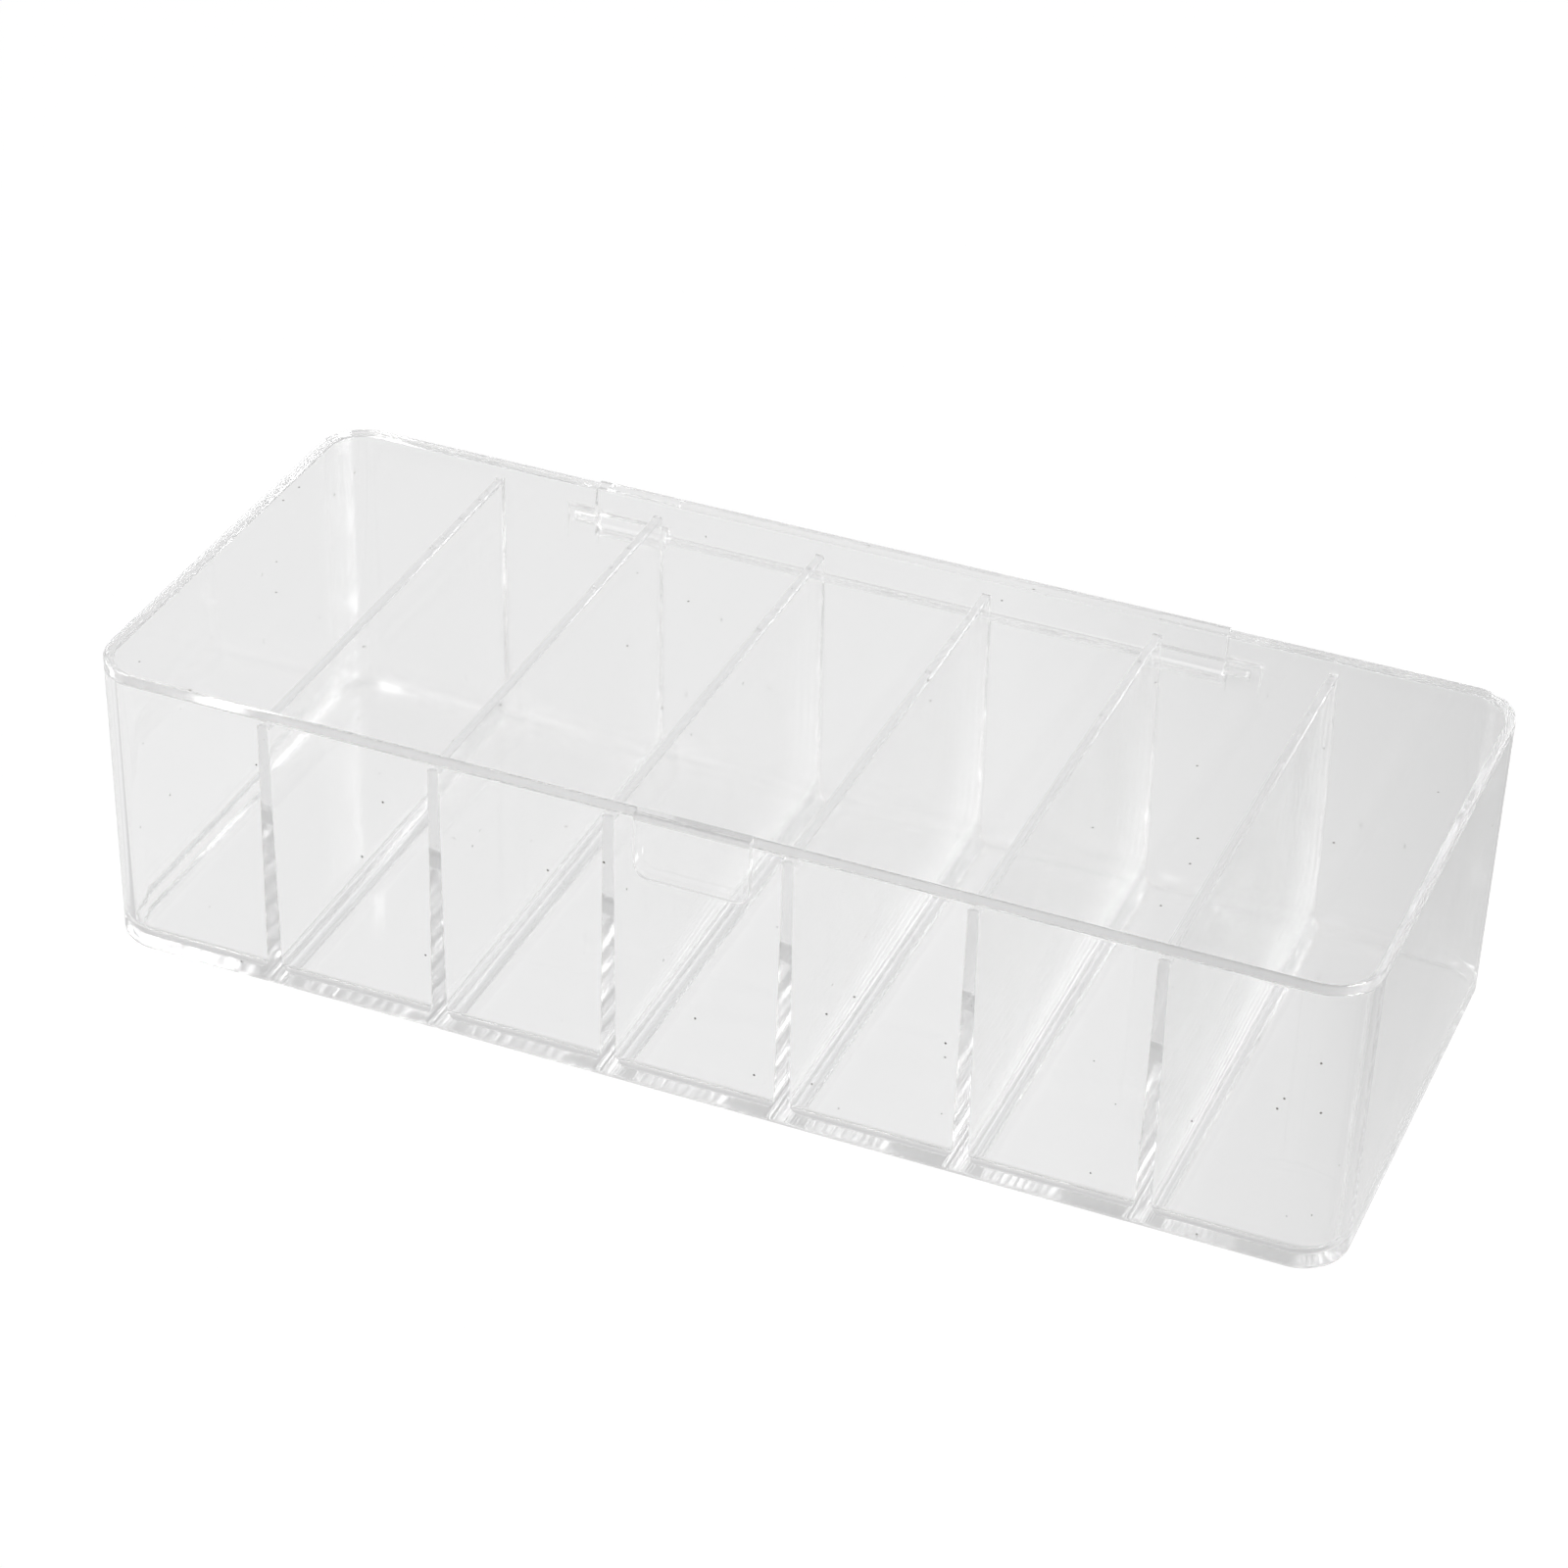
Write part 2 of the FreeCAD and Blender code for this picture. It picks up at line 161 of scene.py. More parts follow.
def extrude_profile(name, profile, low, high):
    """A solid with a profile of (y, z) points, from low to high along X."""
    return loft(name, [[Vector((x, y, z)) for y, z in profile] for x in (low, high)])


def round_edges(obj, radius, steps, wanted):
    """Rounds the edges whose two ends both satisfy wanted(point)."""
    bm = bmesh.new()
    bm.from_mesh(obj.data)
    edges = [edge for edge in bm.edges if all(wanted(vert.co) for vert in edge.verts)]
    bmesh.ops.bevel(bm, geom=edges, offset=radius, offset_type="OFFSET", segments=steps,
                    profile=0.5, affect="EDGES", clamp_overlap=True)
    bm.to_mesh(obj.data)
    bm.free()


def bake_modifiers(obj):
    """Turns an object's modifiers into its mesh."""
    evaluated = obj.evaluated_get(bpy.context.evaluated_depsgraph_get())
    old = obj.data
    mesh = bpy.data.meshes.new_from_object(evaluated)
    obj.modifiers.clear()
    obj.data = mesh
    mesh.name = obj.name
    bpy.data.meshes.remove(old)


def combine(obj, other, operation):
    """Joins another solid to an object, or cuts it away, and drops it."""
    modifier = obj.modifiers.new(operation.title(), "BOOLEAN")
    modifier.operation = operation
    modifier.solver = "EXACT"
    modifier.object = other
    bake_modifiers(obj)
    bpy.data.objects.remove(other)


def polish_normals(obj):
    """Smooth rounds beside flat faces that stay flat, as on a polished mould."""
    mesh = obj.data
    bm = bmesh.new()
    bm.from_mesh(mesh)
    bmesh.ops.remove_doubles(bm, verts=bm.verts, dist=SEAM_WELD)
    bmesh.ops.dissolve_degenerate(bm, edges=bm.edges, dist=SLIVER)
    bm.to_mesh(mesh)
    bm.free()
    mesh.shade_smooth()
    mesh.set_sharp_from_angle(angle=SMOOTH_ANGLE)
    modifier = obj.modifiers.new("Normals", "WEIGHTED_NORMAL")
    modifier.mode = "FACE_AREA"
    modifier.weight = 100
    modifier.keep_sharp = True
    bake_modifiers(obj)


# Node trees

def hex_colour(code):
    """An sRGB hex colour as linear red, green, blue and alpha."""
    parts = [int(code[i:i + 2], 16) / 255 for i in (1, 3, 5)]
    linear = [c / 12.92 if c <= 0.04045 else ((c + 0.055) / 1.055) ** 2.4 for c in parts]
    return (*linear, 1.0)


def add_node(tree, kind, settings=None, **inputs):
    """Adds a node, sets its settings, and sets or links its inputs by name or number.

    A node given for an input stands for its first output.
    """
    node = tree.nodes.new(kind)
    for name, value in (settings or {}).items():
        setattr(node, name, value)
    for name, value in inputs.items():
        key = int(name[1:]) if name[0] == "i" and name[1:].isdigit() else name.replace("_", " ")
        if isinstance(value, bpy.types.Node):
            value = value.outputs[0]
        if isinstance(value, bpy.types.NodeSocket):
            tree.links.new(value, node.inputs[key])
        else:
            node.inputs[key].default_value = value
    return node


def new_material(name):
    """A material with an empty node tree, and that tree."""
    material = bpy.data.materials.new(name)
    material.use_nodes = True
    material.node_tree.nodes.clear()
    return material, material.node_tree


# The two kinds of node that the patterns use most, and a range that starts and ends softly
MATH = "ShaderNodeMath"
RANGE = "ShaderNodeMapRange"
SMOOTH = {"interpolation_type": "SMOOTHSTEP"}

# The painted reflection lines on the dividers, white stand-ins for ghost images of their edges:
# how far in front of the rear face they end, how high the lowest is, how far from these edges
# the first one lies, the round with which they turn the corner between the edges, and how far in
# front of the box they would all meet
LINES_REAR = 2.6 * MM
LINES_FOOT = 5.2 * MM
LINES_START = 1.5 * MM
LINES_BEND = 3.5 * MM
LINES_MEET = 34 * MM

# How much closer they lie above the foot than beside the rear edge, how far they wander,
# and how narrow a line is beside the gap to the next
LINES_SQUEEZE = 1.2
LINES_WANDER = 2 * MM
LINES_NARROW = 5.0

# They fade from one height to the next, down to a share, and likewise towards the left
FADE_LOW = 12 * MM
FADE_HIGH = 55 * MM
SHARE_HIGH = 0.25
FADE_LEFT = -70 * MM
FADE_RIGHT = 20 * MM
SHARE_LEFT = 0.1

# A divider's right face points at least this much along X, this near to the middle
FACES_RIGHT = 0.98
DIVIDER_REACH = 100 * MM


def divider_painted_reflections(tree, place, look):
    """Painted reflection lines in the dividers, beside the foot and the rear edge of each one:
    white ghost images of these edges.

    They are even steps along the way from the nearest of both edges, closer together
    towards the front, and they fade out upwards and on the dividers at the left.
    """
    facing = add_node(tree, "ShaderNodeNewGeometry").outputs["True Normal"]
    side = add_node(tree, "ShaderNodeSeparateXYZ", None, Vector=facing).outputs["X"]
    axes = add_node(tree, "ShaderNodeSeparateXYZ", None, Vector=place).outputs
    rear = HALF_WIDTH - LINES_REAR
    from_rear = add_node(tree, MATH, {"operation": "SUBTRACT"}, i0=rear, i1=axes["Y"])
    from_meet = add_node(tree, MATH, {"operation": "ADD"}, i0=axes["Y"], i1=rear + LINES_MEET)
    reach = add_node(tree, MATH, {"operation": "DIVIDE"}, i0=from_meet, i1=2 * rear + LINES_MEET)
    height = add_node(tree, MATH, {"operation": "SUBTRACT"}, i0=axes["Z"], i1=LINES_FOOT)
    spread = add_node(tree, MATH, {"operation": "MULTIPLY"}, i0=height, i1=LINES_SQUEEZE)
    from_foot = add_node(tree, MATH, {"operation": "DIVIDE"}, i0=spread, i1=reach)

    near = []
    for gap in (from_rear, from_foot):
        bends = add_node(tree, MATH, {"operation": "DIVIDE"}, i0=gap, i1=-LINES_BEND)
        near.append(add_node(tree, MATH, {"operation": "EXPONENT"}, i0=bends))
    both = add_node(tree, MATH, {"operation": "ADD"}, i0=near[0], i1=near[1])
    power = add_node(tree, MATH, {"operation": "LOGARITHM"}, i0=both, i1=math.e)
    way = add_node(tree, MATH, {"operation": "MULTIPLY"}, i0=power, i1=-LINES_BEND)

    sway = add_node(tree, "ShaderNodeTexNoise", {"noise_dimensions": "3D"},
                    Vector=place, Scale=look.wave_scale * 2, Detail=1.0)
    centred = add_node(tree, MATH, {"operation": "SUBTRACT"}, i0=sway.outputs["Fac"], i1=0.5)
    drift = add_node(tree, MATH, {"operation": "MULTIPLY"}, i0=centred, i1=LINES_WANDER)
    begun = add_node(tree, MATH, {"operation": "SUBTRACT"}, i0=way, i1=LINES_START)
    swayed = add_node(tree, MATH, {"operation": "ADD"}, i0=begun, i1=drift)
    turn = add_node(tree, MATH, {"operation": "MULTIPLY"}, i0=swayed,
                    i1=2 * math.pi / look.painted_line_step)
    wave = add_node(tree, MATH, {"operation": "COSINE"}, i0=turn)
    lifted = add_node(tree, MATH, {"operation": "MULTIPLY_ADD"}, i0=wave, i1=0.5, i2=0.5)
    crest = add_node(tree, MATH, {"operation": "POWER"}, i0=lifted, i1=LINES_NARROW)

    fade = add_node(tree, RANGE, SMOOTH, Value=way, From_Min=look.painted_line_reach,
                    From_Max=LINES_START, To_Min=0.0, To_Max=look.painted_line_white)
    off_edge = add_node(tree, RANGE, SMOOTH, Value=way, From_Min=-LINES_START,
                        From_Max=LINES_START, To_Min=0.0, To_Max=1.0)
    low = add_node(tree, RANGE, SMOOTH, Value=axes["Z"], From_Min=FADE_LOW,
                   From_Max=FADE_HIGH, To_Min=1.0, To_Max=SHARE_HIGH)
    right = add_node(tree, RANGE, SMOOTH, Value=axes["X"], From_Min=FADE_LEFT,
                     From_Max=FADE_RIGHT, To_Min=SHARE_LEFT, To_Max=1.0)
    right_face = add_node(tree, MATH, {"operation": "GREATER_THAN"}, i0=side, i1=FACES_RIGHT)
    from_middle = add_node(tree, MATH, {"operation": "ABSOLUTE"}, i0=axes["X"])
    divider = add_node(tree, MATH, {"operation": "LESS_THAN"}, i0=from_middle, i1=DIVIDER_REACH)
    strength = crest
    for share in (fade, off_edge, low, right, right_face, divider):
        strength = add_node(tree, MATH, {"operation": "MULTIPLY"}, i0=strength, i1=share)
    return strength


def clear_polystyrene(name, look, roughness, painted_reflections=False):
    """Clear general-purpose polystyrene, injection moulded in a polished mould.

    It bends light strongly, so its edges turn dark or bright, its long ways through a
    divider or the lid look grey, and its wide faces are slightly wavy where the melt
    flowed and shrank. A few grains of dust and burnt specks sit in it. When asked for,
    painted reflections lie on the dividers: white lines standing in for ghost images of their foot
    and rear edge.
    """
    material, tree = new_material(name)
    place = add_node(tree, "ShaderNodeTexCoord").outputs["Object"]
    flow = add_node(tree, "ShaderNodeTexNoise", {"noise_dimensions": "3D"},
                    Vector=place, Scale=look.wave_scale, Detail=1.5, Roughness=0.4)
    wave = add_node(tree, "ShaderNodeBump", None, Strength=1.0,
                    Distance=look.wave_height, Height=flow.outputs["Fac"])
    plastic = add_node(tree, "ShaderNodeBsdfPrincipled", None, Base_Color=look.plastic_colour,
                       Roughness=roughness, IOR=1.59, Transmission_Weight=1.0,
                       Normal=wave.outputs["Normal"])
    # Painted reflections: white diffuse lines on the dividers' right faces stand in for ghost
    # images of their edges
    if painted_reflections:
        white = add_node(tree, "ShaderNodeBsdfDiffuse", None, Color=hex_colour("#FFFFFF"))
        plastic = add_node(tree, "ShaderNodeMixShader", None,
                           i0=divider_painted_reflections(tree, place, look), i1=plastic, i2=white)
    grains = add_node(tree, "ShaderNodeTexVoronoi", None, Vector=place, Scale=look.speck_scale)
    speck = add_node(tree, MATH, {"operation": "LESS_THAN"}, i0=grains.outputs["Distance"],
                     i1=look.speck_radius * look.speck_scale)
    dust = add_node(tree, "ShaderNodeBsdfDiffuse", None, Color=look.speck_colour)
    coat = add_node(tree, "ShaderNodeMixShader", None, i0=speck, i1=plastic, i2=dust)
    through = add_node(tree, "ShaderNodeBsdfTransparent", None, Color=hex_colour("#F4F4F4"))
    path = add_node(tree, "ShaderNodeLightPath")
    surface = add_node(tree, "ShaderNodeMixShader", None, i0=path.outputs["Is Shadow Ray"],
                       i1=coat, i2=through)
    body = add_node(tree, "ShaderNodeVolumeAbsorption", None, Color=(0, 0, 0, 1),
                    Density=look.density)
    add_node(tree, "ShaderNodeOutputMaterial", None, Surface=surface, Volume=body)
    return material


class ClearBoxSizes(bpy.types.PropertyGroup):
    """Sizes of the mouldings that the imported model's boxes don't give."""
    corner: bpy.props.FloatProperty(
        name="Corner", description="Outside corner radius at the rim", default=10.5 * MM,
        unit="LENGTH", precision=5)
    wall: bpy.props.FloatProperty(
        name="Wall", description="Tray wall at the rim", default=2.1 * MM,
        unit="LENGTH", precision=5)
    floor: bpy.props.FloatProperty(
        name="Floor", description="Tray floor thickness", default=2.2 * MM,
        unit="LENGTH", precision=5)
    outer_lean: bpy.props.FloatProperty(
        name="Outer lean", description="Lean of the outside walls",
        default=math.radians(0.45), unit="ROTATION")
    inner_lean: bpy.props.FloatProperty(
        name="Inner lean", description="Lean of the inside walls and divider faces",
        default=math.radians(0.6), unit="ROTATION")
    bottom_round: bpy.props.FloatProperty(
        name="Bottom round", description="Round of the outside bottom edge",
        default=2.2 * MM, unit="LENGTH", precision=5)
    floor_round: bpy.props.FloatProperty(
        name="Floor round", description="Round where walls and dividers meet the floor",
        default=4.0 * MM, unit="LENGTH", precision=5)
    rim_round: bpy.props.FloatProperty(
        name="Rim round", description="Round of the rim edges", default=0.5 * MM,
        unit="LENGTH", precision=5)
    rim_gap: bpy.props.FloatProperty(
        name="Rim gap", description="Film of air between the rim and the lid",
        default=0.06 * MM, unit="LENGTH", precision=6)
    divider: bpy.props.FloatProperty(
        name="Divider", description="Divider thickness at its top", default=2.2 * MM,
        unit="LENGTH", precision=5)
    divider_drop: bpy.props.FloatProperty(
        name="Divider drop", description="Divider tops below the rim", default=3.0 * MM,
        unit="LENGTH", precision=5)
    divider_round: bpy.props.FloatProperty(
        name="Divider round", description="Round of the divider tops", default=0.6 * MM,
        unit="LENGTH", precision=5)
    divider_fillet: bpy.props.FloatProperty(
        name="Divider fillet", description="Round between the divider tops and the walls",
        default=1.2 * MM, unit="LENGTH", precision=5)
    hinge_span: bpy.props.FloatProperty(
        name="Hinge span", description="Distance between the hinge bosses",
        default=141.4 * MM, unit="LENGTH", precision=5)
    boss_length: bpy.props.FloatProperty(
        name="Boss length", description="Hinge boss along its axis", default=7.0 * MM,
        unit="LENGTH", precision=5)
    boss_radius: bpy.props.FloatProperty(
        name="Boss radius", description="Outside radius of a hinge boss",
        default=2.85 * MM, unit="LENGTH", precision=5)
    boss_foot: bpy.props.FloatProperty(
        name="Boss foot", description="Foot of the boss below the axis", default=5.7 * MM,
        unit="LENGTH", precision=5)
    bore_radius: bpy.props.FloatProperty(
        name="Bore radius", description="Radius of the blind bore", default=1.25 * MM,
        unit="LENGTH", precision=5)
    notch_depth: bpy.props.FloatProperty(
        name="Notch depth", description="Rear notch below the rim", default=9.5 * MM,
        unit="LENGTH", precision=5)
    barrel_radius: bpy.props.FloatProperty(
        name="Barrel radius", description="Radius of a hinge barrel", default=2.1 * MM,
        unit="LENGTH", precision=5)
    barrel_length: bpy.props.FloatProperty(
        name="Barrel length", description="Hinge barrel along its axis", default=16.0 * MM,
        unit="LENGTH", precision=5)
    pin_radius: bpy.props.FloatProperty(
        name="Pin radius", description="Radius of a hinge pin", default=1.2 * MM,
        unit="LENGTH", precision=5)
    pin_length: bpy.props.FloatProperty(
        name="Pin length", description="Pin beyond its barrel", default=4.8 * MM,
        unit="LENGTH", precision=5)
    end_gap: bpy.props.FloatProperty(
        name="End gap", description="Clearance between a barrel and its boss",
        default=0.3 * MM, unit="LENGTH", precision=5)
    lid_round: bpy.props.FloatProperty(
        name="Lid round", description="Round of the lid's top edge", default=0.5 * MM,
        unit="LENGTH", precision=5)
    flange_thick: bpy.props.FloatProperty(
        name="Flange", description="Rear flange front to back", default=2.3 * MM,
        unit="LENGTH", precision=5)
    flange_proud: bpy.props.FloatProperty(
        name="Flange proud", description="Rear flange behind the rear face",
        default=0.8 * MM, unit="LENGTH", precision=5)
    flange_depth: bpy.props.FloatProperty(
        name="Flange depth", description="Rear flange below the rim", default=8.5 * MM,
        unit="LENGTH", precision=5)
    tab_width: bpy.props.FloatProperty(
        name="Tab width", description="Finger tab along the front", default=24.0 * MM,
        unit="LENGTH", precision=5)
    tab_thick: bpy.props.FloatProperty(
        name="Tab thickness", description="Finger tab front to back", default=1.7 * MM,
        unit="LENGTH", precision=5)
    tab_corner: bpy.props.FloatProperty(
        name="Tab corner", description="Round of the tab's lower corners",
        default=3.0 * MM, unit="LENGTH", precision=5)


class ClearBoxLook(bpy.types.PropertyGroup):
    """The plastic's colour and finish with its painted reflection lines, and the studio's levels
    with the painted shade on the table.
    """
    plastic_colour: bpy.props.FloatVectorProperty(
        name="Plastic", description="Tint of the clear plastic", subtype="COLOR", size=4,
        default=hex_colour("#FFFFFF"), min=0.0, max=1.0)
    speck_colour: bpy.props.FloatVectorProperty(
        name="Specks", description="Colour of the dust and burnt grains", subtype="COLOR",
        size=4, default=hex_colour("#6E6C68"), min=0.0, max=1.0)
    table_colour: bpy.props.FloatVectorProperty(
        name="Table", description="Colour of the matt table", subtype="COLOR", size=4,
        default=hex_colour("#F4F4F4"), min=0.0, max=1.0)
    tray_roughness: bpy.props.FloatProperty(
        name="Tray roughness", description="Roughness of the tray's polished faces",
        default=0.03, min=0.0, max=1.0)
    lid_roughness: bpy.props.FloatProperty(
        name="Lid roughness", description="Roughness of the lid, hazed by handling",
        default=0.05, min=0.0, max=1.0)
    density: bpy.props.FloatProperty(
        name="Density", description="Light lost per metre of plastic", default=1.2, min=0.0)
    wave_scale: bpy.props.FloatProperty(
        name="Wave scale", description="Flow waves per metre", default=45.0, min=0.0)
    wave_height: bpy.props.FloatProperty(
        name="Wave height", description="Height of the flow waves", default=0.02 * MM,
        unit="LENGTH", precision=6)
    # The painted reflection lines in the dividers: white painted where ghost images of the edges
    # would be seen
    painted_line_step: bpy.props.FloatProperty(
        name="Ripple step", description="Distance between the lines in the dividers",
        default=4.2 * MM, unit="LENGTH", precision=5)
    painted_line_reach: bpy.props.FloatProperty(
        name="Ripple reach", description="How far the lines reach from foot and rear edge",
        default=28 * MM, unit="LENGTH", precision=5)
    painted_line_white: bpy.props.FloatProperty(
        name="Ripple haze", description="How far the strongest ghost line is whitened",
        default=0.22, min=0.0, max=1.0)
    speck_scale: bpy.props.FloatProperty(
        name="Speck scale", description="Cells per metre that hold one speck each",
        default=106.0, min=0.0)
    speck_radius: bpy.props.FloatProperty(
        name="Speck radius", description="Largest radius of a speck", default=0.25 * MM,
        unit="LENGTH", precision=5)
    sky_top: bpy.props.FloatProperty(
        name="Sky top", description="Level of the studio overhead", default=0.6, min=0.0)
    sky_left: bpy.props.FloatProperty(
        name="Sky left", description="Level of the studio low on the left", default=0.94,
        min=0.0)
    sky_right: bpy.props.FloatProperty(
        name="Sky right", description="Level of the studio low on the right", default=0.82,
        min=0.0)
    # Painted shade on the table: levels of its glow behind the plastic, from front left to the
    # darker back right, and where that painted darkening starts and ends
    painted_table_near: bpy.props.FloatProperty(
        name="Table near", description="Level of the table behind the plastic, front left",
        default=0.84, min=0.0)
    painted_table_far: bpy.props.FloatProperty(
        name="Table far", description="Level of the table behind the plastic, back right",
        default=0.6, min=0.0)
    painted_fall_start: bpy.props.FloatProperty(
        name="Fall start", description="Where the table starts to darken", default=0.05,
        unit="LENGTH")
    painted_fall_end: bpy.props.FloatProperty(
        name="Fall end", description="Where the table is darkest", default=0.18,
        unit="LENGTH")
    table_open: bpy.props.FloatProperty(
        name="Table open", description="Level of the table well away from the box",
        default=1.0, min=0.0)
    # Painted shadow: how much of the table's glow is left in the line under the front edge
    painted_edge_shadow: bpy.props.FloatProperty(
        name="Table edge", description="Share of light left on the table under the front edge",
        default=0.7, min=0.0)
    table_glow: bpy.props.FloatProperty(
        name="Table glow", description="Share of the table's level that no shadow dims",
        default=0.97, min=0.0, max=1.0)


def lean(angle, height):
    """How far a leaning face moves inwards over a height."""
    return height * math.tan(angle)


def tray_shell(sizes):
    """The drafted tray without its dividers, lofted from the inside floor over the rim."""
    rim = RIM - sizes.rim_gap
    inner_x, inner_y = HALF_LENGTH - sizes.wall, HALF_WIDTH - sizes.wall
    inner_corner = sizes.corner - sizes.wall

    def inside(z, inset):
        step = lean(sizes.inner_lean, RIM - z) + inset
        return plan_loop(inner_x - step, inner_y - step, inner_corner - step, z)

    def outside(z, inset):
        step = lean(sizes.outer_lean, RIM - z) + inset
        return plan_loop(HALF_LENGTH - step, HALF_WIDTH - step, sizes.corner - step, z)

    foot, edge, bottom = sizes.floor_round, sizes.rim_round, sizes.bottom_round
    loops = []
    for angle in quarter(90, 0, LARGE_ROUND_STEPS):
        loops.append(inside(sizes.floor + foot * (1 - math.sin(angle)),
                            foot * (1 - math.cos(angle))))
    for angle in quarter(0, 90):
        loops.append(inside(rim - edge * (1 - math.sin(angle)), edge * (math.cos(angle) - 1)))
    for angle in quarter(90, 0):
        loops.append(outside(rim - edge * (1 - math.sin(angle)), edge * (1 - math.cos(angle))))
    for angle in quarter(0, 90, LARGE_ROUND_STEPS):
        loops.append(outside(bottom * (1 - math.sin(angle)), bottom * (1 - math.cos(angle))))
    return loft("base_tray_shell", loops)


def divider_blade(sizes):
    """One divider: thin at its rounded top, flared where it meets the floor."""
    top = RIM - sizes.divider_drop
    half = sizes.divider / 2
    end = HALF_WIDTH - sizes.wall / 2
    wall_y = HALF_WIDTH - sizes.wall - lean(sizes.inner_lean, sizes.divider_drop)
    foot = half + lean(sizes.inner_lean, top - sizes.floor - sizes.floor_round)

    def section(y, crown):
        crest = arc(half - sizes.divider_round, crown - sizes.divider_round,
                    sizes.divider_round, 0, 90, CREST_STEPS)
        flare = arc(foot + sizes.floor_round, sizes.floor + sizes.floor_round - OVERLAP,
                    sizes.floor_round, 270, 180, LARGE_ROUND_STEPS)
        right = [(flare[0][0], sizes.floor / 2)] + flare + crest
        outline = right + [(-x, z) for x, z in reversed(right)]
        return [Vector((x, y, z)) for x, z in outline]

    rise = sizes.divider_fillet
    stations = [(end, top + rise)]
    for angle in quarter(0, 90, FILLET_STEPS):
        stations.append((wall_y - rise + rise * math.cos(angle),
                         top + rise * (1 - math.sin(angle))))
    loops = [section(y, crown) for y, crown in stations]
    loops += [section(-y, crown) for y, crown in reversed(stations)]
    return loft("divider_blade", loops)


def divider_row_tree():
    """Geometry nodes that repeat one divider along the tray and fuse the row with it."""
    tree = bpy.data.node_groups.new("Divider Row", "GeometryNodeTree")
    face = tree.interface
    face.new_socket("Tray", in_out="INPUT", socket_type="NodeSocketGeometry")
    face.new_socket("Divider", in_out="INPUT", socket_type="NodeSocketObject")
    face.new_socket("Count", in_out="INPUT", socket_type="NodeSocketInt")
    face.new_socket("Pitch", in_out="INPUT", socket_type="NodeSocketFloat")
    face.new_socket("Plastic", in_out="INPUT", socket_type="NodeSocketMaterial")
    face.new_socket("Tray", in_out="OUTPUT", socket_type="NodeSocketGeometry")
    given = add_node(tree, "NodeGroupInput").outputs
    blade = add_node(tree, "GeometryNodeObjectInfo", None, Object=given["Divider"])
    gaps = add_node(tree, MATH, {"operation": "SUBTRACT"}, i0=given["Count"], i1=1.0)
    reach = add_node(tree, MATH, {"operation": "MULTIPLY"}, i0=gaps, i1=given["Pitch"])
    first = add_node(tree, MATH, {"operation": "MULTIPLY"}, i0=reach, i1=-0.5)
    start = add_node(tree, "ShaderNodeCombineXYZ", None, X=first)
    step = add_node(tree, "ShaderNodeCombineXYZ", None, X=given["Pitch"])
    line = add_node(tree, "GeometryNodeMeshLine", None, Count=given["Count"],
                    Start_Location=start, Offset=step)
    row = add_node(tree, "GeometryNodeInstanceOnPoints", None, Points=line,
                   Instance=blade.outputs["Geometry"])
    solids = add_node(tree, "GeometryNodeRealizeInstances", None, Geometry=row)
    fused = add_node(tree, "GeometryNodeMeshBoolean", {"operation": "UNION", "solver": "EXACT"})
    tree.links.new(given["Tray"], fused.inputs["Mesh 2"])
    tree.links.new(solids.outputs[0], fused.inputs["Mesh 2"])
    coated = add_node(tree, "GeometryNodeSetMaterial", None, Geometry=fused,
                      Material=given["Plastic"])
    add_node(tree, "NodeGroupOutput", None, Tray=coated)
    return tree


def run_tree(obj, tree, **values):
    """Runs a geometry node tree on an object with named inputs and keeps the result."""
    modifier = obj.modifiers.new(tree.name, "NODES")
    modifier.node_group = tree
    for item in tree.interface.items_tree:
        if item.in_out == "INPUT" and item.name in values:
            modifier[item.identifier] = values[item.name]
    bake_modifiers(obj)


def hinge_ring(radius):
    """Points (y, z) of a full circle about the hinge axis."""
    last = RING_POINTS - 1
    return arc(HINGE.y, HINGE.z, radius, 0, 360 * last / RING_POINTS, last)


def hinge_boss(sizes, side):
    """A boss on the rear wall: a round about the hinge axis with a gusset below."""
    root = HALF_WIDTH - sizes.wall / 2
    foot_z = HINGE.z - sizes.boss_foot
    foot_y = HALF_WIDTH - lean(sizes.outer_lean, RIM - foot_z)
    away = math.degrees(math.atan2(foot_z - HINGE.z, foot_y - HINGE.y))
    reach = math.hypot(foot_y - HINGE.y, foot_z - HINGE.z)
    tangent = away + math.degrees(math.acos(sizes.boss_radius / reach))
    profile = [(root, foot_z), (foot_y, foot_z)]
    profile += arc(HINGE.y, HINGE.z, sizes.boss_radius, tangent, 90, BOSS_STEPS)
    profile += [(root, HINGE.z + sizes.boss_radius)]
    near = side * sizes.hinge_span / 2
    far = near + side * sizes.boss_length
    boss = extrude_profile("boss", profile, near, far)
    round_edges(boss, BROKEN_EDGE, SMALL_ROUND_STEPS,
                lambda point: abs(point.x - far) < TOUCH and point.y > root + 10 * TOUCH)
    return boss


def bore(sizes, side):
    """The blind hole that takes a pin."""
    near = side * sizes.hinge_span / 2
    depth = sizes.end_gap + sizes.pin_length
    return extrude_profile("bore", hinge_ring(sizes.bore_radius), near - side * CUT_PAST,
                           near + side * depth)


def rear_notch(sizes):
    """What is cut from the rear wall for the lid's flange and barrels."""
    half = sizes.hinge_span / 2
    step = half - sizes.end_gap - sizes.barrel_length - BARREL_ROOM
    low = HINGE.z - sizes.barrel_radius - BARREL_DROP
    floor = RIM - sizes.notch_depth
    top = LID_TOP + CUT_PAST
    near = HINGE.y - sizes.barrel_radius - BARREL_ROOM
    far = TRAY_HIGH.y + CUT_PAST
    outline = [(-half, low), (-step, low), (-step, floor), (step, floor), (step, low),
               (half, low), (half, top), (-half, top)]
    return loft("notch", [[Vector((x, y, z)) for x, z in outline] for y in (near, far)])


